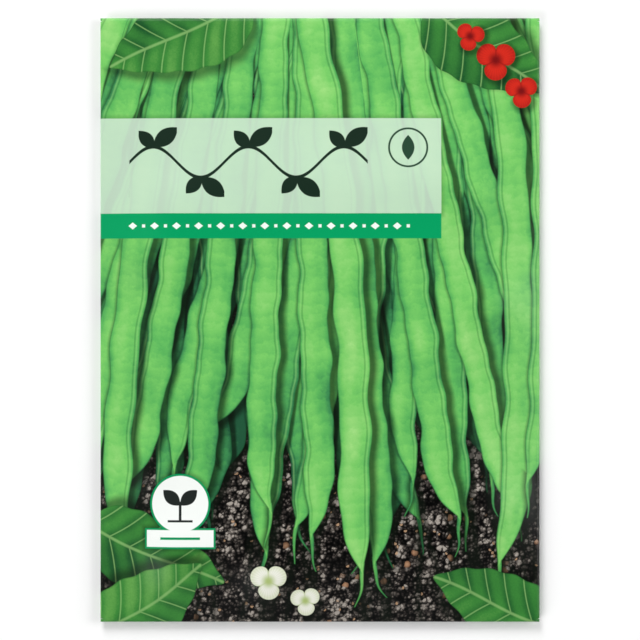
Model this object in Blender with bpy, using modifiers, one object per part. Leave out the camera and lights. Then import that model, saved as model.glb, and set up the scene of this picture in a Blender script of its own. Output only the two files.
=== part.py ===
"""A paper seed packet lying on its back, with the dry climbing bean seeds that it holds.

The packet is one sheet of coated paper. Its blank has a front panel, two back wings that lap at a
glued seam, and a flap at each end that folds round onto the back. The blank is laid flat as a grid
and then folded by a function, and the front panel is draped over the loose seeds.
X runs across the packet, Y up its front, and Z up out of the front. The origin is on the table,
under the middle of the packet.
"""

import math
import random

import bmesh
import bpy
import numpy as np

MM = 0.001

# The packet, in millimetres
WIDTH = 120.0
HEIGHT = 165.0
PAPER = 0.2
LAYER_GAP = 0.2
LAYER_STEP = PAPER + LAYER_GAP
SEAM_LAP = 12.0
BOTTOM_FLAP = 15.0
TOP_FLAP = 22.0
FLAP_TAPER = 0.13
FLAP_CORNER = 4.0

# How the closed packet stands off the table at its rim
RIM_FRONT = 1.5
RIM_LIFT = 0.8
FLAT_HALF_WIDTH = 38.0
FLAT_HALF_HEIGHT = 60.0
STEP_RUN = 3.0
FOLD_RADIUS = (RIM_FRONT - PAPER / 2) / 2
SIDE_FOLD = WIDTH / 2 - PAPER / 2 - FOLD_RADIUS
END_FOLD = HEIGHT / 2 - PAPER / 2 - FOLD_RADIUS
WING_END_GAP = 0.45

# The seeds
SEED_LENGTH = 15.0
SEED_WIDTH = 8.4
SEED_THICKNESS = 6.0
SEED_BEND = 1.5
SEED_ROWS = 8
SEEDS_A_ROW = 6
SEED_SIZE_SPREAD = 0.06
SEED_GAP = 0.3
SEED_FIELD = (-47.0, 47.0, -68.0, 43.0)
SEED_DRAW = 20

# Grids
FRONT_COLUMNS = 34
WING_COLUMNS = 7
FOLD_STEPS = 4
SHEET_ROWS = 46
FLAP_ROWS = 6
DRAPE_CELL = 1.0
TAUT_ROUNDS = 2500
STIFF_ROUNDS = 1500
PAPER_TENSION = 0.004
PAPER_STIFFNESS = 0.026
PAPER_CLEARANCE = 0.5

PRINT_GREEN = (0.17, 0.42, 0.12, 1.0)
BEAN_CREAM = (0.78, 0.72, 0.58, 1.0)


def smooth_step(low, high, value):
    """0 below low, 1 above high, and an even slope between them. low may be above high."""
    share = np.clip((value - low) / (high - low), 0.0, 1.0)
    return share * share * (3.0 - 2.0 * share)


def table_lift(x, y):
    """How far the back stands off the table: flat in the middle, raised along the rim."""
    sides = smooth_step(FLAT_HALF_WIDTH, WIDTH / 2, np.abs(x))
    ends = smooth_step(FLAT_HALF_HEIGHT, HEIGHT / 2, np.abs(y))
    return RIM_LIFT * np.maximum(sides, ends)


def over_flaps(y):
    """1 where a flap lies under the back wings, falling to 0 just past the flap's edge."""
    bottom_edge = BOTTOM_FLAP - HEIGHT / 2
    top_edge = HEIGHT / 2 - TOP_FLAP
    bottom = smooth_step(bottom_edge + STEP_RUN, bottom_edge, y)
    top = smooth_step(top_edge - STEP_RUN, top_edge, y)
    return np.maximum(bottom, top)


def over_seam(x):
    """1 where the left wing lies on the right wing."""
    return smooth_step(-SEAM_LAP / 2 - STEP_RUN, -SEAM_LAP / 2, x)


def wing_height(x, y, is_left):
    """The middle of a back wing's paper above the table."""
    height = table_lift(x, y) + PAPER / 2 + LAYER_STEP * over_flaps(y)
    return height + LAYER_STEP * over_seam(x) if is_left else height


def inside_floor(x, y):
    """The top of the back's paper, which the seeds lie on."""
    seam = LAYER_STEP * smooth_step(SEAM_LAP / 2 + STEP_RUN, SEAM_LAP / 2, np.abs(x))
    return table_lift(x, y) + PAPER + LAYER_STEP * over_flaps(y) + seam


def seed_circles(places, turns):
    """Three circles along each seed, which stand for it while the seeds are pushed apart."""
    reach = np.array([-3.9, 0.0, 3.9])
    along = np.stack([np.cos(turns), np.sin(turns)], axis=1)
    return places[:, None, :] + reach[None, :, None] * along[:, None, :]


def scatter_seeds():
    """(x, y), turn and size of each seed: a jittered grid, pushed apart until none overlap."""
    draw = random.Random(SEED_DRAW)
    left, right, low, high = SEED_FIELD
    places, turns, sizes = [], [], []
    for row in range(SEED_ROWS):
        for column in range(SEEDS_A_ROW):
            across = (column + 0.5 + 0.25 * (row % 2 * 2 - 1)) / SEEDS_A_ROW
            up = ((row + 0.5) / SEED_ROWS) ** 1.12
            places.append((
                left + (right - left) * across + draw.uniform(-4, 4),
                low + (high - low) * up + draw.uniform(-4, 4),
            ))
            turns.append(draw.uniform(0, 2 * math.pi))
            sizes.append(1 + draw.uniform(-SEED_SIZE_SPREAD, SEED_SIZE_SPREAD))
    places, turns, sizes = np.array(places), np.array(turns), np.array(sizes)
    radii = np.tile([3.9, 4.7, 3.9], (len(places), 1)) * sizes[:, None]
    radii = radii.reshape(-1)
    owner = np.repeat(np.arange(len(places)), 3)
    apart = owner[:, None] != owner[None, :]
    for _ in range(600):
        circles = seed_circles(places, turns).reshape(-1, 2)
        offset = circles[:, None, :] - circles[None, :, :]
        distance = np.linalg.norm(offset, axis=2) + 1e-9
        overlap = np.clip(radii[:, None] + radii[None, :] + 0.25 - distance, 0, None) * apart
        push = (offset / distance[:, :, None] * overlap[:, :, None]).sum(axis=1)
        places += 0.2 * push.reshape(-1, 3, 2).sum(axis=1)
        places[:, 0] = np.clip(places[:, 0], left, right)
        places[:, 1] = np.clip(places[:, 1], low, high)
    return places, turns, sizes


def seed_point(direction):
    """A point of the unit sphere moved onto the kidney shape of a bean, in millimetres."""
    along, across, up = direction
    plump = 1.0 - 0.10 * along
    x = along * SEED_LENGTH / 2
    y = across * SEED_WIDTH / 2 * plump - SEED_BEND * (along * along - 0.35)
    z = up * SEED_THICKNESS / 2 * (1.0 - 0.06 * along)
    return x, y, z


def seed_tops(places, turns, sizes, x, y):
    """The highest seed surface over each grid point, or a low number where there is none."""
    tops = np.full(x.shape, -1.0)
    for (px, py), turn, size in zip(places, turns, sizes):
        dx, dy = (x - px) / size, (y - py) / size
        along = (dx * math.cos(turn) + dy * math.sin(turn)) / (SEED_LENGTH / 2)
        side = -dx * math.sin(turn) + dy * math.cos(turn)
        side = side + SEED_BEND * (along * along - 0.35)
        across = side / (SEED_WIDTH / 2 * (1.0 - 0.10 * along))
        room = 1.0 - along * along - across * across
        bulge = np.sqrt(np.clip(room, 0, None)) * SEED_THICKNESS / 2 * (1.0 - 0.06 * along)
        top = seed_middle(px, py, size) + bulge * size
        tops = np.maximum(tops, np.where(room > 0, top, -1.0))
    return tops


def seed_middle(px, py, size):
    """The height of a seed's middle, lying on the highest paper near it."""
    reach = SEED_LENGTH / 2
    around = np.linspace(0, 2 * math.pi, 17)
    under = inside_floor(px + reach * np.cos(around), py + reach * np.sin(around))
    return max(under.max(), inside_floor(px, py)) + SEED_GAP + SEED_THICKNESS / 2 * size


def unevenness(height):
    """How far each point lies below its four neighbours, and 0 along the rim."""
    below = np.zeros_like(height)
    below[1:-1, 1:-1] = (
        height[:-2, 1:-1] + height[2:, 1:-1] + height[1:-1, :-2] + height[1:-1, 2:]
        - 4 * height[1:-1, 1:-1]
    )
    return below


def settle(height, blocked):
    """A sheet held at its rim, pulled taut over what lies under it and then bent as paper is."""
    for _ in range(TAUT_ROUNDS):
        height = np.maximum(height + unevenness(height) / 4, blocked)
    for _ in range(STIFF_ROUNDS):
        below = unevenness(height)
        height = height + PAPER_TENSION * below - PAPER_STIFFNESS * unevenness(below)
        height = np.maximum(height, blocked)
    return height


def drape(places, turns, sizes):
    """The front panel's middle height on a grid, as a function of x and y."""
    xs = np.arange(-WIDTH / 2, WIDTH / 2 + DRAPE_CELL / 2, DRAPE_CELL)
    ys = np.arange(-HEIGHT / 2, HEIGHT / 2 + DRAPE_CELL / 2, DRAPE_CELL)
    x, y = np.meshgrid(xs, ys, indexing="ij")
    rim = table_lift(x, y) + RIM_FRONT
    blocked = seed_tops(places, turns, sizes, x, y) + PAPER_CLEARANCE + PAPER / 2
    height = settle(np.maximum(rim, blocked), np.maximum(blocked, 0))

    def at(px, py):
        column = min(max((px - xs[0]) / DRAPE_CELL, 0), len(xs) - 1.001)
        row = min(max((py - ys[0]) / DRAPE_CELL, 0), len(ys) - 1.001)
        i, j = int(column), int(row)
        a, b = column - i, row - j
        low = height[i, j] * (1 - a) + height[i + 1, j] * a
        high = height[i, j + 1] * (1 - a) + height[i + 1, j + 1] * a
        return low * (1 - b) + high * b

    return at


def sheet_columns():
    """(kind, value) of each column across the folded sheet, from the left wing's free edge."""
    wing = np.linspace(SEAM_LAP / 2, -SIDE_FOLD, WING_COLUMNS)
    wing = np.sort(np.append(wing, [-SEAM_LAP / 2, -SEAM_LAP / 2 - STEP_RUN]))[::-1]
    turns = np.linspace(0, 1, FOLD_STEPS + 1)[1:-1]
    front = np.linspace(-SIDE_FOLD, SIDE_FOLD, FRONT_COLUMNS)
    columns = [("left", x) for x in wing]
    columns += [("left fold", share) for share in turns]
    columns += [("front", x) for x in front]
    columns += [("right fold", share) for share in turns[::-1]]
    columns += [("right", -x) for x in wing[::-1]]
    return columns


def sheet_rows():
    """The rows up the sheet, with one on each edge of the steps over the flaps."""
    bottom, top = BOTTOM_FLAP - HEIGHT / 2, HEIGHT / 2 - TOP_FLAP
    return np.sort(np.append(
        np.linspace(-END_FOLD, END_FOLD, SHEET_ROWS),
        [bottom, bottom + STEP_RUN, top - STEP_RUN, top],
    ))


def folded_point(kind, value, y, front_height):
    """Where a point of the blank lies once the side folds are made."""
    wing_y = y * (1 - WING_END_GAP / (HEIGHT / 2))
    if kind == "front":
        return value, y, front_height(value, y)
    if kind in ("left", "right"):
        return value, wing_y, wing_height(value, wing_y, kind == "left")
    side = -1 if kind == "left fold" else 1
    x_fold = side * SIDE_FOLD
    low = wing_height(x_fold, wing_y, kind == "left fold")
    high = front_height(x_fold, y)
    angle = math.pi * (value - 0.5)
    x = x_fold + side * FOLD_RADIUS * math.cos(angle)
    return x, wing_y + (y - wing_y) * value, (low + high) / 2 + (high - low) / 2 * math.sin(angle)


def grid_of(columns, rows):
    """A flat bmesh grid, with its points as a table indexed by column and row."""
    grid = bmesh.new()
    made = bmesh.ops.create_grid(grid, x_segments=columns - 1, y_segments=rows - 1, size=1.0)
    table = {}
    for vertex in made["verts"]:
        i = round((vertex.co.x + 1) / 2 * (columns - 1))
        j = round((vertex.co.y + 1) / 2 * (rows - 1))
        table[i, j] = vertex
    return grid, table


def tube_sheet(front_height):
    """The front panel and both wings, folded at the sides."""
    columns, rows = sheet_columns(), sheet_rows()
    grid, table = grid_of(len(columns), len(rows))
    for (i, j), vertex in table.items():
        kind, value = columns[i]
        x, y, z = folded_point(kind, value, rows[j], front_height)
        vertex.co = (x * MM, y * MM, z * MM)
    return grid


def flap_sheet(front_height, end, length):
    """The flap at the bottom (end -1) or the top (end 1), folded round onto the back."""
    across = np.linspace(-SIDE_FOLD, SIDE_FOLD, FRONT_COLUMNS)
    fold_rows = FOLD_STEPS + 1
    grid, table = grid_of(FRONT_COLUMNS, fold_rows + FLAP_ROWS)
    fold_y = end * END_FOLD
    for (i, j), vertex in table.items():
        x = across[i]
        low = table_lift(x, fold_y) + PAPER / 2
        high = front_height(x, fold_y)
        if j < fold_rows:
            angle = math.pi * (0.5 - j / (fold_rows - 1))
            y = fold_y + end * FOLD_RADIUS * math.cos(angle)
            z = (low + high) / 2 + (high - low) / 2 * math.sin(angle)
        else:
            share = (j - fold_rows + 1) / FLAP_ROWS
            rounded = 1 - math.sqrt(1 - (abs(x) / SIDE_FOLD) ** 12)
            run = (length - HEIGHT / 2 + END_FOLD) * share - FLAP_CORNER * rounded * share
            x *= 1 - FLAP_TAPER * share
            y = fold_y - end * run
            z = table_lift(x, y) + PAPER / 2
        vertex.co = (x * MM, y * MM, z * MM)
    return grid


def join_sheets(sheets, name):
    """One open surface made of sheets that share their edges."""
    mesh = bpy.data.meshes.new(name)
    whole = bmesh.new()
    for sheet in sheets:
        sheet.to_mesh(mesh)
        whole.from_mesh(mesh)
        sheet.free()
    bmesh.ops.remove_doubles(whole, verts=whole.verts, dist=1e-6)
    bmesh.ops.recalc_face_normals(whole, faces=whole.faces)
    whole.to_mesh(mesh)
    whole.free()
    return mesh


def plain_material(name, colour, roughness):
    material = bpy.data.materials.new(name)
    material.use_nodes = True
    shader = material.node_tree.nodes["Principled BSDF"]
    shader.inputs["Base Color"].default_value = colour
    shader.inputs["Roughness"].default_value = roughness
    shader.inputs["Metallic"].default_value = 0.0
    material.diffuse_color = colour
    return material


def make_envelope(front_height, holder, collection):
    """The folded sheet as a solid of the paper's own thickness."""
    sheets = [
        tube_sheet(front_height),
        flap_sheet(front_height, -1, BOTTOM_FLAP),
        flap_sheet(front_height, 1, TOP_FLAP),
    ]
    mesh = join_sheets(sheets, "envelope")
    mesh.materials.append(plain_material("printed_paper", PRINT_GREEN, 0.35))
    mesh.shade_smooth()
    envelope = bpy.data.objects.new("envelope", mesh)
    collection.objects.link(envelope)
    envelope.parent = holder
    solid = envelope.modifiers.new("paper_thickness", "SOLIDIFY")
    solid.thickness = PAPER * MM
    solid.offset = 0.0


def seed_mesh():
    """A kidney-shaped bean, with the sphere's poles at its two ends."""
    ball = bmesh.new()
    bmesh.ops.create_uvsphere(ball, u_segments=8, v_segments=8, radius=1.0)
    for vertex in ball.verts:
        along, across, up = vertex.co.z, vertex.co.x, vertex.co.y
        vertex.co = [value * MM for value in seed_point((along, across, up))]
    mesh = bpy.data.meshes.new("seed")
    ball.to_mesh(mesh)
    ball.free()
    mesh.materials.append(plain_material("bean_skin", BEAN_CREAM, 0.3))
    mesh.shade_smooth()
    return mesh


def make_seeds(places, turns, sizes, holder, collection):
    mesh = seed_mesh()
    for number, ((px, py), turn, size) in enumerate(zip(places, turns, sizes), 1):
        seed = bpy.data.objects.new(f"seed_{number:02d}", mesh)
        collection.objects.link(seed)
        seed.parent = holder
        seed.location = (px * MM, py * MM, seed_middle(px, py, size) * MM)
        seed.rotation_euler = (0, 0, turn)
        seed.scale = (size, size, size)


def main():
    for obj in list(bpy.data.objects):
        bpy.data.objects.remove(obj)
    collection = bpy.data.collections.new("seed_packet")
    bpy.context.scene.collection.children.link(collection)
    holder = bpy.data.objects.new("packet", None)
    collection.objects.link(holder)
    places, turns, sizes = scatter_seeds()
    make_envelope(drape(places, turns, sizes), holder, collection)
    make_seeds(places, turns, sizes, holder, collection)


main()
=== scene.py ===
"""The looks of the seed packet: its finely draped paper, its printed front and back, and its seeds.

The prints are drawn by shader nodes from the packet's own X and Y in millimetres. Pods, leaves and
blossoms are node groups that each paint one motif, or a row of them, over what lies under it.
"""

import math
import random

import bmesh
import bpy
import numpy as np
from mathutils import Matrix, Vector
from mathutils.bvhtree import BVHTree

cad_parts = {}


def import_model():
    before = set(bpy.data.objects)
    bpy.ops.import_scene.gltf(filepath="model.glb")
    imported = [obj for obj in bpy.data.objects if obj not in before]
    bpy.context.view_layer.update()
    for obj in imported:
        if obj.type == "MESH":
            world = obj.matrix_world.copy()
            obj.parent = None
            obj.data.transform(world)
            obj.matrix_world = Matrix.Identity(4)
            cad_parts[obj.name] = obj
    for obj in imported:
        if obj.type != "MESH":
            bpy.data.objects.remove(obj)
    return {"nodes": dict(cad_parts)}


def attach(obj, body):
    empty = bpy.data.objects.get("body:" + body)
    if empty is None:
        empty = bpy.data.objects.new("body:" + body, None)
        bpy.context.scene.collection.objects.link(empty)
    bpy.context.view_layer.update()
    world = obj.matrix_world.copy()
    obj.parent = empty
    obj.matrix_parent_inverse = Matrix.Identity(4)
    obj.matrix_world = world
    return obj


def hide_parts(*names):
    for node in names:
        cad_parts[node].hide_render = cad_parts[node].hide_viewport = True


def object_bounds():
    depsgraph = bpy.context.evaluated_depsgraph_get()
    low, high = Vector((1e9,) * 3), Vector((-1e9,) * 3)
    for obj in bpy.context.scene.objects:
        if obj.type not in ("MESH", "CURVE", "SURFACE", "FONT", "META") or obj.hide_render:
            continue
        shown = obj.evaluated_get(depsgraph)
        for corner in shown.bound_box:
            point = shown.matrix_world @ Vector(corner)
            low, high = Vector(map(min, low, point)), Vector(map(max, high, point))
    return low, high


MM = 0.001
WIDTH = 120.0
HEIGHT = 165.0
PAPER = 0.2
LAYER_STEP = 0.4
SEAM_LAP = 12.0
BOTTOM_FLAP = 15.0
TOP_FLAP = 22.0
FLAP_TAPER = 0.13
FLAP_CORNER = 4.0
RIM_FRONT = 1.5
RIM_LIFT = 0.8
FLAT_HALF_WIDTH = 38.0
FLAT_HALF_HEIGHT = 60.0
STEP_RUN = 3.0
FOLD_RADIUS = (RIM_FRONT - PAPER / 2) / 2
SIDE_FOLD = WIDTH / 2 - PAPER / 2 - FOLD_RADIUS
END_FOLD = HEIGHT / 2 - PAPER / 2 - FOLD_RADIUS
WING_END_GAP = 0.45

FRONT_CELLS = 118
SHEET_CELLS = 164
WING_CELLS = 26
FOLD_CELLS = 6
FLAP_CELLS = 12

SEED_CLEARANCE = 0.25
BEND_ROUNDS = 260
PAPER_TENSION = 0.004
PAPER_STIFFNESS = 0.026
RIPPLE = 0.16
LONG_WAVES = 9
EDGE_EASE = 14.0

CAMERA_LENS = 200.0
CAMERA_SENSOR = 36.0
PHOTO_PIXELS = 640
PIXELS_PER_MM = 3.667
EYE_HEIGHT = 0.004

FLOOR_HALF = 1.3
FLOOR_WHITE = 0.9
SKY_STRENGTH = 0.74

PRINT_SEED = 7
INK_STRENGTH = 0.90
INK_EDGE = 0.1

LABEL_LEFT, LABEL_RIGHT = -61.0, 33.0
LABEL_LOW, LABEL_HIGH = 29.0, 55.0
STRIP_LOW, STRIP_MIDDLE = 22.2, 25.6
STRIP_PRINT_LEFT, STRIP_PRINT_RIGHT = -53.0, 25.5
RING_X, RING_Y, RING_RADIUS = 24.0, 47.0, 5.2
BADGE_X, BADGE_Y, BADGE_RADIUS = -38.0, -50.0, 8.2


# Colours and arithmetic on shader sockets


def linear(red, green, blue):
    """A shader colour from ordinary screen values of 0 to 255."""
    shares = [channel / 255 for channel in (red, green, blue)]
    straight = [s / 12.92 if s < 0.04045 else ((s + 0.055) / 1.055) ** 2.4 for s in shares]
    return (*straight, 1.0)


def feed(tree, socket, value):
    """Sets a socket to a number, a colour or what another node gives."""
    if isinstance(value, Term):
        tree.links.new(value.socket, socket)
    elif isinstance(value, bpy.types.NodeSocket):
        tree.links.new(value, socket)
    else:
        socket.default_value = value


class Term:
    """A number that varies over the surface, which can be added and multiplied as numbers can."""

    def __init__(self, tree, socket):
        self.tree = tree
        self.socket = socket

    def maths(self, operation, *values):
        node = self.tree.nodes.new("ShaderNodeMath")
        node.operation = operation
        for socket, value in zip(node.inputs, values):
            feed(self.tree, socket, value)
        return Term(self.tree, node.outputs[0])

    def __add__(self, other):
        return self.maths("ADD", self, other)

    __radd__ = __add__

    def __sub__(self, other):
        return self.maths("SUBTRACT", self, other)

    def __rsub__(self, other):
        return self.maths("SUBTRACT", other, self)

    def __mul__(self, other):
        return self.maths("MULTIPLY", self, other)

    __rmul__ = __mul__

    def __truediv__(self, other):
        return self.maths("DIVIDE", self, other)

    def __neg__(self):
        return self.maths("MULTIPLY", self, -1.0)

    def size(self):
        return self.maths("ABSOLUTE", self)

    def sine(self):
        return self.maths("SINE", self)

    def root(self):
        return self.maths("SQRT", self)

    def power(self, exponent):
        return self.maths("POWER", self, exponent)

    def least(self, other):
        return self.maths("MINIMUM", self, other)

    def most(self, other):
        return self.maths("MAXIMUM", self, other)

    def above(self, low, high):
        """0 at low, 1 at high, smooth between and level beyond. low may be above high."""
        return self.ease(low, high, 0.0, 1.0)

    def inked(self):
        """1 where a distance lies inside a printed edge and 0 outside it."""
        return self.above(-INK_EDGE, INK_EDGE)

    def ease(self, low, high, to_low, to_high):
        """to_low at low, to_high at high, smooth between and level beyond."""
        if low > high:
            low, high, to_low, to_high = high, low, to_high, to_low
        node = self.tree.nodes.new("ShaderNodeMapRange")
        node.interpolation_type = "SMOOTHSTEP"
        node.clamp = False
        for socket, value in zip(node.inputs, (self, low, high, to_low, to_high)):
            feed(self.tree, socket, value)
        return Term(self.tree, node.outputs[0])

    def spread(self, low, high, to_low, to_high):
        """to_low at low, to_high at high, straight between and level beyond."""
        share = ((self - low) / (high - low)).most(0.0).least(1.0)
        return share * (to_high - to_low) + to_low


def blend(tree, share, under, over, way="MIX"):
    """under and over mixed by share, as colours."""
    node = tree.nodes.new("ShaderNodeMix")
    node.data_type = "RGBA"
    node.blend_type = way
    feed(tree, node.inputs["Factor"], share)
    feed(tree, node.inputs[6], under)
    feed(tree, node.inputs[7], over)
    return node.outputs[2]


def ramp(tree, share, stops):
    """A colour picked along a row of (place, colour) stops."""
    node = tree.nodes.new("ShaderNodeValToRGB")
    bar = node.color_ramp
    while len(bar.elements) < len(stops):
        bar.elements.new(0.5)
    for element, (place, colour) in zip(bar.elements, stops):
        element.position = place
        element.color = colour
    feed(tree, node.inputs[0], share)
    return node.outputs[0]


def texture_place(tree, stretch, shift):
    """The packet's own coordinates in millimetres, stretched and shifted for a texture."""
    coordinates = tree.nodes.new("ShaderNodeTexCoord")
    node = tree.nodes.new("ShaderNodeMapping")
    tree.links.new(coordinates.outputs["Object"], node.inputs["Vector"])
    node.inputs["Location"].default_value = (shift, shift * 0.7, shift * 0.3)
    node.inputs["Scale"].default_value = [1000.0 * amount for amount in stretch]
    return node.outputs[0]


def noise(tree, scale, detail=2.0, rough=0.5, stretch=(1, 1, 1), shift=0.0):
    """Even noise round 0.5, with scale in features a millimetre."""
    place = texture_place(tree, stretch, shift)
    node = tree.nodes.new("ShaderNodeTexNoise")
    tree.links.new(place, node.inputs["Vector"])
    node.inputs["Scale"].default_value = scale
    node.inputs["Detail"].default_value = detail
    node.inputs["Roughness"].default_value = rough
    return Term(tree, node.outputs[0])


def cells(tree, scale, shift=0.0):
    """The distance from its middle, three random numbers and the middle of each point's cell."""
    place = texture_place(tree, (1, 1, 0), shift)
    node = tree.nodes.new("ShaderNodeTexVoronoi")
    node.voronoi_dimensions = "2D"
    tree.links.new(place, node.inputs["Vector"])
    node.inputs["Scale"].default_value = scale
    draws = split(tree, node.outputs["Color"])
    shifted = split(tree, node.outputs["Position"])
    middle = [axis - offset for axis, offset in zip(shifted, (shift, shift * 0.7))]
    return Term(tree, node.outputs["Distance"]), draws, middle


def chance(tree, number):
    """A random share that is always the same for the same number."""
    node = tree.nodes.new("ShaderNodeTexWhiteNoise")
    node.noise_dimensions = "1D"
    feed(tree, node.inputs["W"], number)
    return Term(tree, node.outputs["Value"])


def split(tree, vector):
    """The three numbers of a vector or a colour."""
    node = tree.nodes.new("ShaderNodeSeparateXYZ")
    feed(tree, node.inputs[0], vector)
    return [Term(tree, socket) for socket in node.outputs]


def print_place(tree):
    """The packet's X, Y and Z in millimetres."""
    coordinates = tree.nodes.new("ShaderNodeTexCoord")
    return [axis * 1000.0 for axis in split(tree, coordinates.outputs["Object"])]


# Motifs: each group paints one thing over the colour that it is given


SHARED = ("X", "Y", "Blotch", "Cloud", "Mottle", "Grain")


def motif(name, numbers, colours=()):
    """An empty group with the sheet's shared numbers, the colour beneath, and what is named."""
    group = bpy.data.node_groups.new(name, "ShaderNodeTree")
    for label in (*SHARED, *numbers):
        group.interface.new_socket(label, in_out="INPUT", socket_type="NodeSocketFloat")
    for label in ("Under", *colours):
        group.interface.new_socket(label, in_out="INPUT", socket_type="NodeSocketColor")
    group.interface.new_socket("Colour", in_out="OUTPUT", socket_type="NodeSocketColor")
    given = group.nodes.new("NodeGroupInput")
    terms = {label: Term(group, given.outputs[label]) for label in (*SHARED, *numbers)}
    for label in ("Under", *colours):
        terms[label] = given.outputs[label]
    return group, terms


def close_motif(group, colour):
    result = group.nodes.new("NodeGroupOutput")
    group.links.new(colour, result.inputs["Colour"])
    return group


def paint(tree, group, shared, under, **values):
    """Adds one motif to a material and returns the colour that results."""
    node = tree.nodes.new("ShaderNodeGroup")
    node.node_tree = group
    for label in SHARED:
        feed(tree, node.inputs[label], shared[label])
    feed(tree, node.inputs["Under"], under)
    for label, value in values.items():
        feed(tree, node.inputs[label.replace("_", " ")], value)
    return node.outputs[0]


def own_blotch(given, phase):
    """A slow unevenness that differs from motif to motif, round 0."""
    turn = phase * 2.3
    return (given["Blotch"] - 0.5) * turn.sine() + (given["Cloud"] - 0.5) * (turn + 1.57).sine()


def along_and_across(given):
    """How far a point lies along a motif's line, and to the left of it."""
    dx, dy = given["X"] - given["Root X"], given["Y"] - given["Root Y"]
    ux, uy = given["Dir X"], given["Dir Y"]
    return dx * ux + dy * uy, dy * ux - dx * uy


POD_GREENS = [
    (0.00, linear(34, 86, 58)),
    (0.25, linear(62, 140, 82)),
    (0.48, linear(92, 180, 92)),
    (0.68, linear(120, 202, 102)),
    (0.88, linear(148, 214, 120)),
    (1.00, linear(172, 224, 142)),
]


def pod_outline(form):
    """Adds a pod's own width and sides to its form, with the tip and the thin curled beak."""
    middle, to_tip, skew = form["middle"], form["to_tip"], form["skew"]
    shut = to_tip.spread(20.0, 0.0, 0.0, 1.0)
    tip = 1.0 - shut.power(2.3)
    swell = (form["run"] * 0.40 + form["phase"] * 1.7).sine()
    full = form["half"] * (swell * 0.06 + 1.0)
    wide = full * tip
    side = middle - skew * (full - wide) * 0.86
    body = wide - side.size() - shut * 0.2

    beyond = (-to_tip).most(0.0)
    curl = beyond * beyond * (swell * 0.012 + 0.018)
    beak_middle = skew * (full * 0.86 - 0.42 - curl)
    beak_wide = 0.52 - beyond * 0.042
    beak = (beak_wide - (middle - beak_middle).size()).least(3.0 - to_tip).least(9.0 - beyond)
    edge = body.most(beak)
    return {**form, "tip": tip, "swell": swell, "wide": wide, "side": side, "beak": beak, "edge": edge}


def pod_shadow(group, given, form):
    """What lies under a pod, with the pod's shadow on it."""
    fall = (form["wide"] - (form["side"] - 1.2).size()).most(form["beak"])
    shadow = fall.above(-1.9, 0.4) * 0.80
    hug = form["edge"].above(-0.9, 0.1) * 0.5
    return blend(group, shadow.most(hug) * form["open"], given["Under"], linear(9, 17, 9))


def pod_skin(group, given, form):
    """A pod's greens, mottled and darker to its sides, with a pale seam along one of them."""
    side, wide, tip, swell = form["side"], form["wide"], form["tip"], form["swell"]
    q = side / wide.most(0.3)
    rim = q.size().above(0.55, 1.02)
    crown = (q + 0.25).size().above(0.75, 0.0)
    lit = form["tone"] + own_blotch(given, form["phase"]) * 0.7
    lit = lit - rim * 0.17 + (crown + swell * 0.3) * 0.10
    lit = lit + (given["Mottle"] - 0.5) * 0.22 + (given["Grain"] - 0.5) * 0.12
    lit = lit + (form["run"] * 1.9 + given["Mottle"] * 14.0).sine() * 0.028
    skin = ramp(group, lit, POD_GREENS)
    seam = side - form["skew"] * wide * 0.80
    skin = blend(group, seam.size().above(0.36, 0.05) * tip * 0.24, skin, linear(168, 224, 138))
    dark = (seam + form["skew"] * 0.55).size().above(0.34, 0.05) * tip * 0.32
    return blend(group, dark.most(form["edge"].above(0.42, 0.0) * 0.55), skin, linear(22, 78, 42))


def painted_pod(group, given, form):
    """A whole pod over what lies under it."""
    form = pod_outline(form)
    under = pod_shadow(group, given, form)
    skin = pod_skin(group, given, form)
    return blend(group, form["edge"].above(-0.16, 0.14), under, skin)


def pod_group():
    """One long flat green pod, hanging along its own line."""
    numbers = ("Root X", "Root Y", "Dir X", "Dir Y", "Length", "Bow", "Half", "Phase", "Skew", "Tone")
    group, given = motif("pod", numbers)
    along, across = along_and_across(given)
    share = along / given["Length"]
    bow = share * (1.0 - share) * given["Bow"] * 4.0
    wave = (along * 0.27 + given["Phase"]).sine() * 0.32
    return close_motif(group, painted_pod(group, given, {
        "run": along,
        "middle": across - bow - wave,
        "to_tip": given["Length"] - along,
        "half": given["Half"],
        "phase": given["Phase"],
        "skew": given["Skew"],
        "tone": given["Tone"],
        "open": 1.0,
    }))


def pod_row_group():
    """A row of pods that spread from a far point, one to each equal angle, all different."""
    numbers = ("Focus X", "Focus Y", "Step", "Reach", "Arch", "Half", "Tone", "Salt")
    group, given = motif("pod row", numbers)
    dx, dy = given["X"] - given["Focus X"], given["Focus Y"] - given["Y"]
    far = (dx * dx + dy * dy).root()
    angle = dx.maths("ARCTAN2", dx, dy)
    turn = angle / given["Step"]
    number = turn.maths("FLOOR", turn)
    place = turn - number - 0.5
    draws = [chance(group, number + given["Salt"] + extra) for extra in (0.0, 0.31, 0.57, 0.83)]
    phase = draws[0] * 6.28
    lean = (far - given["Reach"] + 60.0) * (draws[1] - 0.5) * 0.03
    sway = (far * 0.027 + phase).sine() * (draws[2] - 0.5) * 2.6
    wave = (far * 0.27 + phase).sine() * 0.30 + (far * 0.77 + phase * 2.7).sine() * 0.12
    aim = draws[2] - 0.5
    return close_motif(group, painted_pod(group, given, {
        "run": far,
        "middle": place * given["Step"] * far - lean - sway - wave,
        "to_tip": given["Reach"] + draws[3] * 30.0 - angle * angle * given["Arch"] - far,
        "half": given["Half"] * (draws[1] * 0.2 + 0.88),
        "phase": phase,
        "skew": aim.maths("SIGN", aim),
        "tone": given["Tone"] + (draws[0] - 0.5) * 0.22,
        "open": place.size().above(0.5, 0.43),
    }))


LEAF_GREENS = [
    (0.0, linear(12, 46, 24)),
    (0.35, linear(30, 88, 42)),
    (0.65, linear(62, 136, 58)),
    (1.0, linear(124, 186, 92)),
]
VEIN_STEP = 3.1


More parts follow.
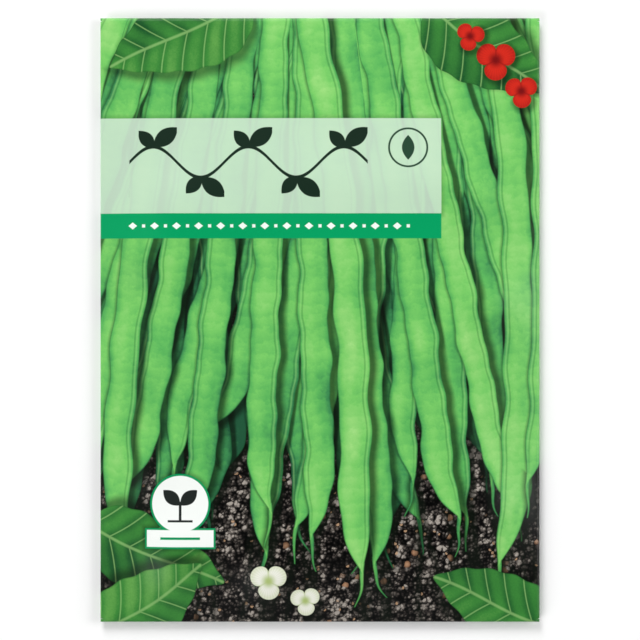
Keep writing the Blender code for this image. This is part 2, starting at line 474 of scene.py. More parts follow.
def leaf_skin(group, given, along, across, wide):
    """A leaf's greens, with a midrib, slanting side veins and quilting between them."""
    phase, reach = given["Phase"], across.size()
    rib = reach.above(0.62, 0.10)
    slant = along - reach * 0.82 + reach * reach * 0.016
    run = slant.maths("PINGPONG", slant, VEIN_STEP)
    vein = run.above(0.36, 0.02) * wide.above(0.2, 2.0)
    quilt = run.above(0.2, 2.6)
    half_tone = (across / 3.0).spread(-1.0, 1.0, -0.07, 0.09)
    lit = given["Tone"] + own_blotch(given, phase) * 0.5
    lit = lit + (given["Grain"] - 0.5) * 0.16 + quilt * 0.16 + half_tone
    skin = ramp(group, lit, LEAF_GREENS)
    return blend(group, vein.most(rib) * 0.55, skin, linear(152, 200, 122))


def leaf_group():
    """A broad pointed bean leaf with a gently waved edge."""
    numbers = ("Root X", "Root Y", "Dir X", "Dir Y", "Length", "Half", "Phase", "Tone")
    group, given = motif("leaf", numbers)
    along, across = along_and_across(given)
    length, phase = given["Length"], given["Phase"]
    share = along / length
    inside = share.most(0.0).least(1.0)
    across = across - (share * 5.0 + phase).sine() * 0.9
    edge_wave = (along * 0.9 + phase).sine() * 0.25
    wide = inside.power(0.42) * (1.0 - inside).power(0.85) * given["Half"] * 1.72 + edge_wave
    edge = (wide - across.size()).least(along).least(length - along)
    fall = (wide - (across - 1.4).size()).least(along + 1.0).least(length - along)
    shadow = fall.above(-3.0, 0.6) * 0.66
    under = blend(group, shadow, given["Under"], linear(8, 15, 8))
    skin = leaf_skin(group, given, along, across, wide)
    skin = blend(group, edge.above(0.5, 0.0) * 0.35, skin, linear(18, 60, 28))
    return close_motif(group, blend(group, edge.above(-0.15, 0.15), under, skin))


PETALS = 3


def blossom_group():
    """A small blossom of three rounded petals about a darker throat."""
    group, given = motif("blossom", ("Root X", "Root Y", "Half", "Phase"), ("Petal", "Throat"))
    dx, dy = given["X"] - given["Root X"], given["Y"] - given["Root Y"]
    far = (dx * dx + dy * dy).root()
    turn = dx.maths("ARCTAN2", dy, dx) + given["Phase"]
    lobe = (turn * (PETALS / 2)).sine().size().power(0.6)
    wide = given["Half"] * (lobe * 0.52 + 0.48)
    edge = wide - far
    sx, sy = dx - 0.9, dy + 0.9
    shade_far = (sx * sx + sy * sy).root()
    shadow = (wide - shade_far).above(-1.6, 0.4) * 0.6
    under = blend(group, shadow, given["Under"], linear(8, 15, 8))
    ray = (turn * (PETALS * 6.0)).sine().size() * 0.16
    cup = (far / wide).above(0.58, 1.0) * 0.30
    lit = (far / given["Half"]).above(0.05, 0.50) * (1.0 - cup - ray)
    skin = blend(group, lit, given["Throat"], given["Petal"])
    skin = blend(group, lobe.above(0.55, 0.05) * 0.5, skin, given["Throat"])
    return close_motif(group, blend(group, edge.above(-0.12, 0.12), under, skin))


# The front print


TRIM_GREEN = linear(2, 150, 90)


def grains(tree, shared, scale, shift):
    """Rounded grains lit from the upper left: their light, 0 to 1, and two draws for each."""
    near, draws, middle = cells(tree, scale, shift)
    reach = scale * 1.25
    side = ((shared["Y"] - middle[1]) * 0.75 - (shared["X"] - middle[0]) * 0.65) * reach
    round_off = 1.0 - (near * near) * 2.9
    return (round_off * 0.55 + side * 0.55).most(0.0), draws


EARTH_BROWNS = [
    (0.00, linear(1, 1, 1)),
    (0.24, linear(17, 16, 15)),
    (0.48, linear(57, 52, 49)),
    (0.74, linear(102, 96, 90)),
    (1.00, linear(168, 160, 151)),
]
STONE_TANS = [
    (0.1, linear(84, 56, 42)),
    (0.6, linear(178, 136, 104)),
    (1.0, linear(222, 194, 164)),
]


def soil_colour(tree, shared):
    """Dark crumbly earth: small grains, larger crumbs and clods, and a few tan stones."""
    small, small_draws = grains(tree, shared, 1.15, 0.0)
    crumb, crumb_draws = grains(tree, shared, 0.56, 40.0)
    clod, clod_draws = grains(tree, shared, 0.24, 90.0)
    hollows = noise(tree, 0.11, 3.0, 0.6, shift=17.0)
    speckle = noise(tree, 3.4, 2.0, 0.7)
    deep = hollows.above(0.34, 0.58)
    lit = small * (small_draws[0] * 0.7 + 0.3)
    lit = lit + crumb * (crumb_draws[1].above(0.1, 0.8) + 0.2)
    lit = lit + clod * clod_draws[0].above(0.3, 0.9) * 0.7 + (speckle - 0.5) * 0.8 - 0.12
    earth = ramp(tree, lit * (deep * 0.60 + 0.66), EARTH_BROWNS)
    stone = crumb_draws[2].above(0.975, 0.985) * crumb.above(0.05, 0.2)
    stone_skin = ramp(tree, crumb + (speckle - 0.5) * 0.4, STONE_TANS)
    speck = small_draws[1].above(0.975, 0.98) * small.above(0.1, 0.3)
    earth = blend(tree, speck * 0.8, earth, linear(188, 152, 118))
    return blend(tree, stone * 0.9, earth, stone_skin)


def heading(degrees):
    """The unit vector of a direction, counted from straight down and towards the right."""
    angle = math.radians(degrees)
    return math.sin(angle), -math.cos(angle)


def pod_rows_of_the_front():
    """Rows of pods, rear ones first, each spreading from its own far point."""
    rows = []
    for focus_x, focus_y, gap, reach, half, tone, salt in (
        (14.0, 198.0, 10.6, 232.0, 3.8, 0.06, 3.0),
        (-34.0, 245.0, 11.6, 286.0, 3.9, 0.26, 41.0),
        (30.0, 230.0, 12.2, 274.0, 3.9, 0.46, 87.0),
        (-8.0, 222.0, 15.5, 272.0, 4.1, 0.62, 124.0),
    ):
        rows.append({
            "Focus_X": focus_x,
            "Focus_Y": focus_y,
            "Step": gap / (focus_y + 30.0),
            "Reach": reach,
            "Arch": 180.0,
            "Half": half,
            "Tone": tone,
            "Salt": salt,
        })
    return rows


def single_pods_of_the_front():
    """A few pods that cross the rows: (x, y, degrees, length, bow, half width, skew, tone)."""
    return [
        (-34.0, 96.0, -8.0, 158.0, -5.0, 4.0, 1.0, 0.60),
        (46.0, 96.0, 2.0, 163.0, 5.0, 4.1, -1.0, 0.66),
        (-6.0, 98.0, 5.0, 168.0, 6.0, 4.2, 1.0, 0.68),
        (59.5, 96.0, 0.0, 141.0, 2.5, 4.0, -1.0, 0.58),
    ]


def leaves_of_the_front():
    """Leaves at the lower corners and the top: (x, y, direction, length, half width, tone)."""
    return [
        (-63.0, -56.0, 66.0, 40.0, 13.5, 0.40),
        (-60.0, -86.0, 124.0, 34.0, 13.0, 0.52),
        (64.0, -84.0, -112.0, 36.0, 13.0, 0.46),
        (30.0, 86.0, 52.0, 40.0, 14.5, 0.44),
        (-20.0, 88.0, -62.0, 42.0, 15.0, 0.46),
    ]


def box_edge(x, y, left, right, low, high):
    """How far inside a level box a point lies."""
    return (x - left).least(right - x).least(y - low).least(high - y)


def disc_edge(x, y, middle_x, middle_y, radius):
    dx, dy = x - middle_x, y - middle_y
    return radius - (dx * dx + dy * dy).root()


def small_leaf(x, y, root_x, root_y, degrees, length, half):
    """How far inside a plain little leaf shape a point lies."""
    ux, uy = heading(degrees)
    dx, dy = x - root_x, y - root_y
    along = dx * ux + dy * uy
    across = dy * ux - dx * uy
    share = (along / length).most(0.0).least(1.0)
    wide = share * (1.0 - share) * half * 4.0
    return (wide - across.size()).least(along).least(length - along)


def ornament_edge(x, y, left, right, level, swing, step):
    """A plain vine: a waving stem with a pair of leaves at each crest and trough."""
    run = x - left
    number = run.maths("FLOOR", run / step)
    up = 1.0 - number.maths("FRACT", number * 0.5) * 4.0
    local = run - (number + 0.5) * step
    rise = (y - level) * up
    wave = (local * (math.pi / step) + math.pi / 2).sine() * swing
    edge = 0.5 - (rise - wave).size()
    edge = edge.most(small_leaf(local, rise, 0.0, swing, 128.0, step * 0.66, step * 0.17))
    edge = edge.most(small_leaf(local, rise, 0.4, swing * 0.9, -138.0, step * 0.5, step * 0.14))
    return edge.least(run).least(right - x)


def panel_on(tree, x, y, colour):
    """The pale see-through panel with its vine and its ring."""
    panel = box_edge(x, y, LABEL_LEFT, LABEL_RIGHT, LABEL_LOW, LABEL_HIGH)
    colour = blend(tree, panel.above(-1.6, 0.3) * 0.35, colour, linear(18, 50, 26))
    colour = blend(tree, panel.inked() * 0.76, colour, linear(210, 236, 212))
    vine = ornament_edge(x, y, -52.0, 13.0, 43.0, 4.2, 13.0)
    colour = blend(tree, vine.inked(), colour, linear(24, 44, 32))
    ring = 0.26 - disc_edge(x, y, RING_X, RING_Y, RING_RADIUS).size()
    sprig = small_leaf(x, y, RING_X, RING_Y - 3.4, 180.0, 6.8, 1.7)
    return blend(tree, ring.most(sprig).inked(), colour, linear(40, 70, 52))


def strip_on(tree, x, y, colour):
    """The green strip under the panel, with its diamonds and dots."""
    strip = box_edge(x, y, LABEL_LEFT, LABEL_RIGHT, STRIP_LOW, LABEL_LOW)
    colour = blend(tree, strip.inked(), colour, linear(2, 158, 96))
    run = x.maths("PINGPONG", x + 60.0, 3.0)
    rise = (y - STRIP_MIDDLE).size()
    ends = (x - STRIP_PRINT_LEFT).least(STRIP_PRINT_RIGHT - x)
    diamond = 0.95 - (3.0 - run).size() * 0.8 - rise
    dot = 0.42 - run.size().most(rise)
    return blend(tree, diamond.most(dot).least(ends).inked(), colour, linear(240, 250, 242))


def sprout_edge(x, y):
    """A plain sprout on a line of ground, in the middle of the badge."""
    leaf_root = BADGE_Y - 0.4
    stalk = (0.36 - (x - BADGE_X).size()).least(y - BADGE_Y + 4.6).least(BADGE_Y + 0.6 - y)
    right_leaf = small_leaf(x, y, BADGE_X, leaf_root, 132.0, 6.2, 1.75)
    left_leaf = small_leaf(x, y, BADGE_X, leaf_root, -132.0, 6.2, 1.75)
    ground = (0.3 - (y - BADGE_Y + 4.7).size()).least(3.4 - (x - BADGE_X).size())
    return stalk.most(right_leaf.most(left_leaf)).most(ground)


def badge_on(tree, x, y, colour):
    """A round white badge with a green rim and a plain sprout, over a small bare plate."""
    disc = disc_edge(x, y, BADGE_X, BADGE_Y, BADGE_RADIUS)
    plate = box_edge(x, y, BADGE_X - 9.6, BADGE_X + 9.6, BADGE_Y - 12.2, BADGE_Y - 6.6)
    whole = disc.most(plate)
    colour = blend(tree, whole.above(-1.5, 0.2) * 0.5, colour, linear(8, 20, 10))
    colour = blend(tree, whole.inked(), colour, TRIM_GREEN)
    inner = (disc - 0.55).most(plate - 0.5)
    colour = blend(tree, inner.inked(), colour, linear(246, 250, 246))
    colour = blend(tree, sprout_edge(x, y).inked(), colour, linear(34, 40, 38))
    bar = (0.34 - (y - BADGE_Y + 9.4).size()).least(5.4 - (x - BADGE_X).size())
    return blend(tree, bar.inked(), colour, TRIM_GREEN)


def pods_on(tree, shared, draw, colour):
    pod_row, pod = pod_row_group(), pod_group()
    for values in pod_rows_of_the_front():
        colour = paint(tree, pod_row, shared, colour, **values)
    for root_x, root_y, degrees, length, bow, half, skew, tone in single_pods_of_the_front():
        ux, uy = heading(degrees)
        colour = paint(
            tree, pod, shared, colour, Root_X=root_x, Root_Y=root_y, Dir_X=ux, Dir_Y=uy, Length=length,
            Bow=bow, Half=half, Phase=draw.uniform(0.0, 6.0), Skew=skew, Tone=tone,
        )
    return colour


def leaves_on(tree, shared, draw, colour):
    leaf = leaf_group()
    for root_x, root_y, degrees, length, half, tone in leaves_of_the_front():
        ux, uy = heading(degrees)
        colour = paint(
            tree, leaf, shared, colour, Root_X=root_x, Root_Y=root_y, Dir_X=ux, Dir_Y=uy,
            Length=length, Half=half, Phase=draw.uniform(0.0, 6.0), Tone=tone,
        )
    return colour


def blossoms_on(tree, shared, draw, colour):
    blossom = blossom_group()
    white = {"Petal": linear(246, 246, 236), "Throat": linear(176, 196, 120)}
    red = {"Petal": linear(214, 44, 30), "Throat": linear(122, 16, 18)}
    for root_x, root_y, half, tints in (
        (-14.0, -71.0, 5.2, white), (-4.0, -76.5, 4.2, white),
        (48.0, 71.0, 5.6, red), (55.0, 62.5, 4.6, red), (41.0, 77.5, 4.0, red),
    ):
        colour = paint(
            tree, blossom, shared, colour, Root_X=root_x, Root_Y=root_y, Half=half,
            Phase=draw.uniform(0.0, 6.0), **tints,
        )
    return colour


def front_print(tree):
    """The whole printed front, from the soil up to the label."""
    x, y, _ = print_place(tree)
    draw = random.Random(PRINT_SEED)
    shared = {
        "X": x,
        "Y": y,
        "Blotch": noise(tree, 0.10, 2.5, 0.55, (1.0, 0.55, 1.0)),
        "Cloud": noise(tree, 0.10, 2.5, 0.55, (1.0, 0.55, 1.0), 53.0),
        "Mottle": noise(tree, 0.42, 3.0, 0.6),
        "Grain": noise(tree, 1.9, 2.0, 0.7),
    }
    colour = soil_colour(tree, shared)
    colour = pods_on(tree, shared, draw, colour)
    colour = leaves_on(tree, shared, draw, colour)
    colour = blossoms_on(tree, shared, draw, colour)
    colour = badge_on(tree, x, y, colour)
    colour = strip_on(tree, x, y, panel_on(tree, x, y, colour))
    return blend(tree, 1.0, colour, (INK_STRENGTH, INK_STRENGTH, INK_STRENGTH, 1.0), "MULTIPLY")


# Materials


def new_material(name):
    material = bpy.data.materials.new(name)
    material.use_nodes = True
    tree = material.node_tree
    return material, tree, tree.nodes["Principled BSDF"]


def paper_surface(tree, shader, roughness, depth):
    """Faint fibre and coating unevenness, with its depth in millimetres."""
    fibre = noise(tree, 1.4, 4.0, 0.6)
    wave = noise(tree, 0.22, 2.0)
    height = fibre * 0.35 + wave
    bump = tree.nodes.new("ShaderNodeBump")
    bump.inputs["Strength"].default_value = 0.35
    bump.inputs["Distance"].default_value = depth * MM
    feed(tree, bump.inputs["Height"], height)
    feed(tree, shader.inputs["Normal"], bump.outputs[0])
    feed(tree, shader.inputs["Roughness"], fibre * 0.10 + (roughness - 0.05))
    shader.inputs["Specular IOR Level"].default_value = 0.17


def front_material():
    material, tree, shader = new_material("front_print")
    feed(tree, shader.inputs["Base Color"], front_print(tree))
    paper_surface(tree, shader, 0.30, 0.05)
    return material


def paper_material():
    material, tree, shader = new_material("bare_paper")
    fibre = noise(tree, 2.2, 4.0, 0.65)
    feed(tree, shader.inputs["Base Color"], ramp(tree, fibre, [
        (0.3, linear(226, 225, 218)),
        (0.7, linear(244, 243, 238)),
    ]))
    paper_surface(tree, shader, 0.62, 0.03)
    return material


def boxes_on(tree, x, y, colour):
    """Three bare boxes for notes, with thin green frames."""
    for left, right, low, high in (
        (-52.0, -2.0, -10.0, 32.0), (2.0, 52.0, -10.0, 32.0), (-52.0, 52.0, -60.0, -32.0),
    ):
        box = box_edge(x, y, left, right, low, high)
        line = 0.22 - (box - 0.3).size()
        colour = blend(tree, box.inked() * 0.6, colour, linear(222, 238, 214))
        colour = blend(tree, line.inked(), colour, linear(60, 150, 90))
    return colour


def calendar_on(tree, x, y, colour):
    """A row of twelve double squares with two coloured stretches."""
    calendar = box_edge(x, y, -48.0, 48.0, -27.0, -15.0)
    cell = x.maths("PINGPONG", x + 48.0, 4.0)
    rule = (0.16 - cell.size()).most(0.16 - (y + 21.0).size()).most(0.2 - calendar.size())
    sow = box_edge(x, y, -16.0, 8.0, -20.0, -16.0)
    pick = box_edge(x, y, 8.0, 32.0, -26.0, -22.0)
    colour = blend(tree, calendar.inked(), colour, linear(250, 252, 248))
    colour = blend(tree, sow.inked(), colour, linear(96, 186, 92))
    colour = blend(tree, pick.inked(), colour, linear(232, 150, 52))
    return blend(tree, rule.least(calendar + 0.2).inked(), colour, linear(70, 110, 84))


def back_print(tree):
    """Pale paper with a green head and foot, a growing calendar, and boxes for notes."""
    x, y, _ = print_place(tree)
    x = x * -1.0
    fibre = noise(tree, 1.8, 4.0, 0.6)
    colour = ramp(tree, fibre, [(0.3, linear(234, 240, 226)), (0.7, linear(243, 247, 237))])
    head = box_edge(x, y, -61.0, 61.0, 37.0, 57.0)
    colour = blend(tree, head.inked(), colour, TRIM_GREEN)
    foot = (y + 66.5).size() * -1.0 + 1.2
    colour = blend(tree, foot.inked(), colour, TRIM_GREEN)
    colour = calendar_on(tree, x, y, boxes_on(tree, x, y, colour))
    vine = ornament_edge(x, y, -44.0, 16.0, 47.0, 3.2, 10.0)
    return blend(tree, vine.inked(), colour, linear(232, 246, 234))


def back_material():
    material, tree, shader = new_material("back_print")
    feed(tree, shader.inputs["Base Color"], back_print(tree))
    paper_surface(tree, shader, 0.42, 0.05)
    return material


def seed_material():
    """Cream bean skin, faintly mottled and streaked with pale brown."""
    material, tree, shader = new_material("bean_skin")
    mottle = noise(tree, 0.42, 3.0)
    skin = ramp(tree, mottle, [(0.3, linear(222, 208, 178)), (0.7, linear(240, 232, 210))])
    vein = noise(tree, 1.5, 2.0)
    skin = blend(tree, vein.above(0.62, 0.80) * 0.25, skin, linear(196, 176, 140))
    feed(tree, shader.inputs["Base Color"], skin)
    feed(tree, shader.inputs["Roughness"], mottle * 0.15 + 0.22)
    return material


# The paper's shape


def smooth_step(low, high, value):
    """0 at low, 1 at high and smooth between, for arrays. low may be above high."""
    share = np.clip((value - low) / (high - low), 0.0, 1.0)
    return share * share * (3.0 - 2.0 * share)


def table_lift(x, y):
    """How far the packet's underside is off the table: not at all but near its rim."""
    sides = smooth_step(FLAT_HALF_WIDTH, WIDTH / 2, np.abs(x))
    ends = smooth_step(FLAT_HALF_HEIGHT, HEIGHT / 2, np.abs(y))
    return RIM_LIFT * np.maximum(sides, ends)


def over_flaps(y):
    """1 where a flap lies on the back wings, falling to 0 just past the flap's edge."""
    bottom_edge = BOTTOM_FLAP - HEIGHT / 2
    top_edge = HEIGHT / 2 - TOP_FLAP
    bottom = smooth_step(bottom_edge + STEP_RUN, bottom_edge, y)
    top = smooth_step(top_edge - STEP_RUN, top_edge, y)
    return np.maximum(bottom, top)


def wing_height(x, y, is_left):
    """The middle of a back wing's paper above the table."""
    height = table_lift(x, y) + PAPER / 2 + LAYER_STEP * over_flaps(y)
    seam = smooth_step(-SEAM_LAP / 2 - STEP_RUN, -SEAM_LAP / 2, x)
    return height + LAYER_STEP * seam if is_left else height


def unevenness(height):
    """How far each inner point's four neighbours lie above it, summed."""
    below = np.zeros_like(height)
    below[1:-1, 1:-1] = (
        height[:-2, 1:-1] + height[2:, 1:-1] + height[1:-1, :-2] + height[1:-1, 2:]
        - 4 * height[1:-1, 1:-1]
    )
    return below


def tree_of(objects):
    """One ray-casting tree over several CAD nodes."""
    corners, faces = [], []
    for obj in objects:
        start = len(corners)
        corners += [vertex.co.copy() for vertex in obj.data.vertices]
        faces += [[start + i for i in face.vertices] for face in obj.data.polygons]
    return BVHTree.FromPolygons(corners, faces)


def height_under(tree, x, y, missed):
    """The highest point of a tree's faces at (x, y), in millimetres."""
    hit = tree.ray_cast(Vector((x * MM, y * MM, 0.05)), Vector((0, 0, -1)))[0]
    return missed if hit is None else hit.z / MM


def ripples(x, y, draw):
    """Slight waves of handled paper: long ones, and soft creases from the corners."""
    total = np.zeros_like(x)
    for _ in range(LONG_WAVES):
        angle = draw.uniform(0, math.pi)
        wave = draw.uniform(16.0, 44.0)
        phase = draw.uniform(0, 6.28)
        total += np.sin((x * math.cos(angle) + y * math.sin(angle)) * 6.28 / wave + phase) / 3
    for corner_x, corner_y in ((-1, -1), (1, -1), (-1, 1), (1, 1)):
        dx, dy = x - corner_x * WIDTH / 2, y - corner_y * HEIGHT / 2
        angle = np.arctan2(dy * corner_y, dx * corner_x)
        far = np.hypot(dx, dy)
        total += 1.1 * np.sin(angle * 9 + corner_x) * np.exp(-((far - 16) / 12) ** 2)
    return total


def front_surface(nodes):
    """The middle of the front panel's paper on an even grid of points."""
    xs = np.linspace(-SIDE_FOLD, SIDE_FOLD, FRONT_CELLS + 1)
    ys = np.linspace(-END_FOLD, END_FOLD, SHEET_CELLS + 1)
    x, y = np.meshgrid(xs, ys, indexing="ij")
    envelope = tree_of([nodes["envelope"]])
    seeds = tree_of([obj for name, obj in nodes.items() if name.startswith("seed_")])
    rim = table_lift(x, y) + RIM_FRONT
    height, blocked = rim.copy(), np.zeros_like(rim)
    for i in range(1, len(xs) - 1):
        for j in range(1, len(ys) - 1):
            height[i, j] = height_under(envelope, xs[i], ys[j], rim[i, j]) - PAPER / 2
            blocked[i, j] = height_under(seeds, xs[i], ys[j], 0.0) + SEED_CLEARANCE
    across_ease = smooth_step(0, EDGE_EASE, SIDE_FOLD - np.abs(x))
    ease = across_ease * smooth_step(0, EDGE_EASE, END_FOLD - np.abs(y))
    height += RIPPLE * ease * ripples(x, y, random.Random(PRINT_SEED))
    for _ in range(BEND_ROUNDS):
        below = unevenness(height)
        height = height + PAPER_TENSION * below - PAPER_STIFFNESS * unevenness(below)
        height = np.maximum(height, blocked)
    return xs, ys, height


def mapped_grid(columns, rows, place):
    """A mesh grid whose point (i, j) is put where place(i, j) says, in millimetres."""
    grid = bmesh.new()
    made = bmesh.ops.create_grid(grid, x_segments=columns - 1, y_segments=rows - 1, size=1.0)
    for vertex in made["verts"]:
        i = round((vertex.co.x + 1) / 2 * (columns - 1))
        j = round((vertex.co.y + 1) / 2 * (rows - 1))
        vertex.co = [value * MM for value in place(i, j)]
    return grid


def joined(grids, name):
    """One mesh from several grids that share their borders."""
    mesh = bpy.data.meshes.new(name)
    whole = bmesh.new()
    for grid in grids:
        grid.to_mesh(mesh)
        whole.from_mesh(mesh)
        grid.free()
    bmesh.ops.remove_doubles(whole, verts=whole.verts, dist=1e-6)
    bmesh.ops.recalc_face_normals(whole, faces=whole.faces)
    whole.to_mesh(mesh)
    whole.free()
    return mesh


def side_fold_grid(side, ys, rim_height):
    """A side's fold, from the front panel round to the back wing."""
    def place(i, j):
        y = ys[j]
        wing_y = y * (1 - WING_END_GAP / (HEIGHT / 2))
        low = wing_height(side * SIDE_FOLD, wing_y, side < 0)
        high = rim_height[j]
        turn = i / FOLD_CELLS
        angle = math.pi * (0.5 - turn)
        x = side * (SIDE_FOLD + FOLD_RADIUS * math.cos(angle))
        return x, y + (wing_y - y) * turn, (low + high) / 2 + (high - low) / 2 * math.sin(angle)

    return mapped_grid(FOLD_CELLS + 1, len(ys), place)


def end_fold_grid(end, xs, rim_height):
    """An end's fold, from the front panel round to the flap on the back."""
    def place(i, j):
        x = xs[i]
        low = table_lift(x, end * END_FOLD) + PAPER / 2
        high = rim_height[i]
        angle = math.pi * (0.5 - j / FOLD_CELLS)
        y = end * (END_FOLD + FOLD_RADIUS * math.cos(angle))
        return x, y, (low + high) / 2 + (high - low) / 2 * math.sin(angle)

    return mapped_grid(len(xs), FOLD_CELLS + 1, place)


def corner_grid(side, end, rim):
    """The upper half of a corner, between the side's fold and the end's fold."""
    steps = FOLD_CELLS // 2

    def place(i, j):
        across, up = math.pi / 2 * (1 - i / steps), math.pi / 2 * (1 - j / steps)
        low = wing_height(side * SIDE_FOLD, end * END_FOLD, side < 0)
        sink = (rim - low) / 2 * (1 - min(math.sin(across), math.sin(up)))
        x = side * (SIDE_FOLD + FOLD_RADIUS * math.cos(across))
        return x, end * (END_FOLD + FOLD_RADIUS * math.cos(up)), rim - sink

    return mapped_grid(steps + 1, steps + 1, place)


def front_mesh(xs, ys, height):
    """The front panel with its side folds, end folds and corners."""
    def place(i, j):
        return xs[i], ys[j], height[i, j]

    return joined([
        mapped_grid(len(xs), len(ys), place),
        side_fold_grid(-1, ys, height[0]),
        side_fold_grid(1, ys, height[-1]),
        end_fold_grid(-1, xs, height[:, 0]),
        end_fold_grid(1, xs, height[:, -1]),
        corner_grid(-1, -1, height[0, 0]),
        corner_grid(-1, 1, height[0, -1]),
        corner_grid(1, -1, height[-1, 0]),
        corner_grid(1, 1, height[-1, -1]),
    ], "envelope_front")


def wing_mesh(ys, side):
    """A back wing, from its side fold to its free edge at the seam."""
    free_edge = -side * SEAM_LAP / 2
    across = np.linspace(side * SIDE_FOLD, free_edge, WING_CELLS + 1)

    def place(i, j):
        y = ys[j] * (1 - WING_END_GAP / (HEIGHT / 2))
        return across[i], y, wing_height(across[i], y, side < 0)

    return mapped_grid(WING_CELLS + 1, len(ys), place)


def flap_mesh(xs, end, length):
    """A flap on the back, tapered, with rounded corners."""
    def place(i, j):
        share = j / FLAP_CELLS
        rounded = 1 - math.sqrt(max(0, 1 - (abs(xs[i]) / SIDE_FOLD) ** 12))
        run = (length - HEIGHT / 2 + END_FOLD) * share - FLAP_CORNER * rounded * share
        x = xs[i] * (1 - FLAP_TAPER * share)
        y = end * (END_FOLD - run)
        return x, y, table_lift(x, y) + PAPER / 2

    return mapped_grid(len(xs), FLAP_CELLS + 1, place)


def thick_piece(name, mesh, outside, paper, outward):
    """A sheet given the paper's thickness, with bare paper inside and on its cut edges."""
    obj = bpy.data.objects.new(name, mesh)
    bpy.context.scene.collection.objects.link(obj)
    if mesh.polygons[0].normal.dot(Vector(outward)) < 0:
        mesh.flip_normals()
    solid = obj.modifiers.new("paper_thickness", "SOLIDIFY")
    solid.thickness = PAPER * MM
    solid.offset = 0.0
    solid.material_offset = 1
    solid.material_offset_rim = 1
    mesh.materials.append(outside)
    mesh.materials.append(paper)
    whole = bpy.data.meshes.new_from_object(obj.evaluated_get(bpy.context.evaluated_depsgraph_get()))
    obj.modifiers.clear()
    obj.data = whole
    lay_out(whole)
    whole.shade_smooth()
    return obj


def corner_places(mesh):
    """Where each face corner lies, in millimetres."""
    corner = np.empty(len(mesh.loops), dtype=np.int32)
    mesh.loops.foreach_get("vertex_index", corner)
    places = np.empty(len(mesh.vertices) * 3)
    mesh.vertices.foreach_get("co", places)
    return places.reshape(-1, 3)[corner] / MM


def lay_out(mesh):
    """Lays the printed side over most of the texture, and the bare side and cut edges on strips."""
    places = corner_places(mesh)
    corners = [len(face.vertices) for face in mesh.polygons]
    bare = [face.material_index > 0 for face in mesh.polygons]
    upright = [abs(face.normal.z) < 0.5 for face in mesh.polygons]
    is_bare = np.repeat(bare, corners)
    is_edge = is_bare & np.repeat(upright, corners)
    across = places[:, 0] / WIDTH
    up = places[:, 1] / HEIGHT
    right = np.where(is_edge, 0.5 + (across + up) * 0.49, 0.5 + across * 0.98)
    level = np.where(is_bare, 0.017 + up * 0.026, 0.525 + up * 0.94)
    level = np.where(is_edge, 0.034 + 0.012 * np.clip(places[:, 2] / 1.2, 0.0, 1.0), level)
    layer = mesh.uv_layers.new(name="OFBake")
    layer.data.foreach_set("uv", np.stack([right, level], axis=1).reshape(-1))


def make_envelope(nodes):
    """The five visible pieces of the folded sheet, all in the envelope's place."""
    xs, ys, height = front_surface(nodes)
    paper = paper_material()
    front = front_mesh(xs, ys, height)
    pieces = [thick_piece("envelope_front", front, front_material(), paper, (0, 0, 1))]
    back = back_material()
    for name, grid in (
        ("wing_left", wing_mesh(ys, -1)),
        ("wing_right", wing_mesh(ys, 1)),
        ("flap_bottom", flap_mesh(xs, -1, BOTTOM_FLAP)),
        ("flap_top", flap_mesh(xs, 1, TOP_FLAP)),
    ):
        pieces.append(thick_piece(name, joined([grid], name), back, paper, (0, 0, -1)))
    for piece in pieces:
        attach(piece, "root")
        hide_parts("envelope")


def dress_seeds(nodes):
    """The CAD seeds, rounded by subdivision."""
    skin = seed_material()
    for name, obj in nodes.items():
        if name.startswith("seed_"):
            obj.data.materials.clear()
            obj.data.materials.append(skin)
            weld = obj.modifiers.new("weld", "WELD")
            weld.merge_threshold = 0.00001
            smooth = obj.modifiers.new("smooth", "SUBSURF")
            smooth.levels = 1
            smooth.render_levels = 1


# The studio


def make_floor():
    """A plain matt floor, small enough that the lights reach all of it."""
    mesh = bpy.data.meshes.new("floor")
    sheet = bmesh.new()
    bmesh.ops.create_grid(sheet, x_segments=1, y_segments=1, size=FLOOR_HALF)
    sheet.to_mesh(mesh)
    sheet.free()
    floor = bpy.data.objects.new("floor", mesh)
    bpy.context.scene.collection.objects.link(floor)
    material, _, shader = new_material("studio_floor")
    shader.inputs["Base Color"].default_value = (FLOOR_WHITE, FLOOR_WHITE, FLOOR_WHITE, 1.0)
    shader.inputs["Roughness"].default_value = 1.0
    shader.inputs["Specular IOR Level"].default_value = 0.0
    mesh.materials.append(material)


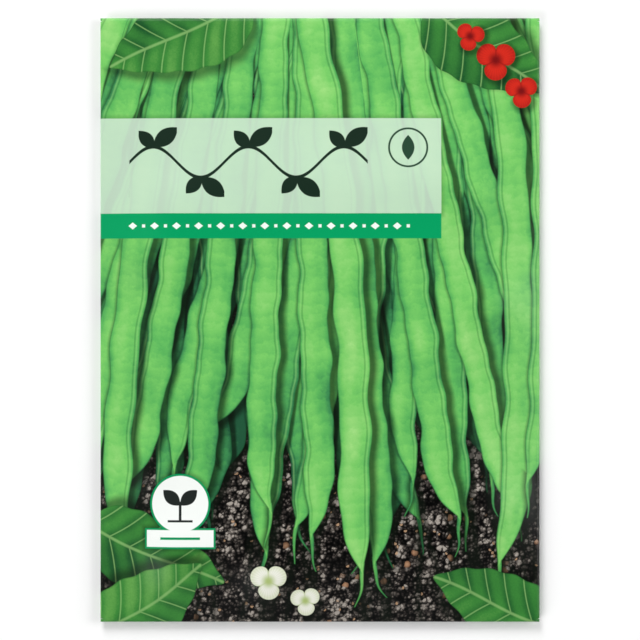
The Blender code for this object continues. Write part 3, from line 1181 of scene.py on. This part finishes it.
def soft_light(name, place, size, power):
    """A square lamp that faces the packet, with its place and size in metres and power in watts."""
    light = bpy.data.lights.new(name, "AREA")
    light.shape = "SQUARE"
    light.size = size
    light.energy = power
    lamp = bpy.data.objects.new(name, light)
    lamp.location = place
    lamp.rotation_euler = (-Vector(place)).to_track_quat("-Z", "Y").to_euler()
    bpy.context.scene.collection.objects.link(lamp)


def make_world():
    """Light from all round, palest at the horizon, darkest overhead so that the print stays clear."""
    world = bpy.data.worlds.new("studio")
    world.use_nodes = True
    bpy.context.scene.world = world
    tree = world.node_tree
    coordinates = tree.nodes.new("ShaderNodeTexCoord")
    up = split(tree, coordinates.outputs["Generated"])[2]
    stops = ((0.05, 1.0), (0.16, 0.46), (0.75, 0.37), (0.97, 0.09))
    sky = ramp(tree, up, [(place, (light, light, light, 1.0)) for place, light in stops])
    background = tree.nodes["Background"]
    feed(tree, background.inputs["Color"], sky)
    background.inputs["Strength"].default_value = SKY_STRENGTH


def make_camera():
    """A long lens straight above, as far off as gives the packet its size in the photo."""
    camera = bpy.data.cameras.new("camera")
    camera.lens = CAMERA_LENS
    camera.sensor_width = CAMERA_SENSOR
    camera.clip_start = 0.01
    camera.clip_end = 20.0
    obj = bpy.data.objects.new("camera", camera)
    distance = PHOTO_PIXELS / PIXELS_PER_MM * MM * CAMERA_LENS / CAMERA_SENSOR
    obj.location = (0.0, 0.0, distance + EYE_HEIGHT)
    bpy.context.scene.collection.objects.link(obj)
    bpy.context.scene.camera = obj


def make_studio():
    make_floor()
    make_world()
    soft_light("key", (-0.30, 1.06, 0.76), 0.6, 14.2)
    soft_light("fill", (1.12, 0.15, 0.62), 0.8, 9.5)
    soft_light("low", (-0.78, -0.84, 0.64), 0.8, 9.7)
    make_camera()
    scene = bpy.context.scene
    scene.view_settings.view_transform = "Standard"
    scene.view_settings.look = "None"


def main():
    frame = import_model()
    cad_box = [corner.copy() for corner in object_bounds()]
    make_envelope(frame["nodes"])
    dress_seeds(frame["nodes"])
    make_studio()


main()
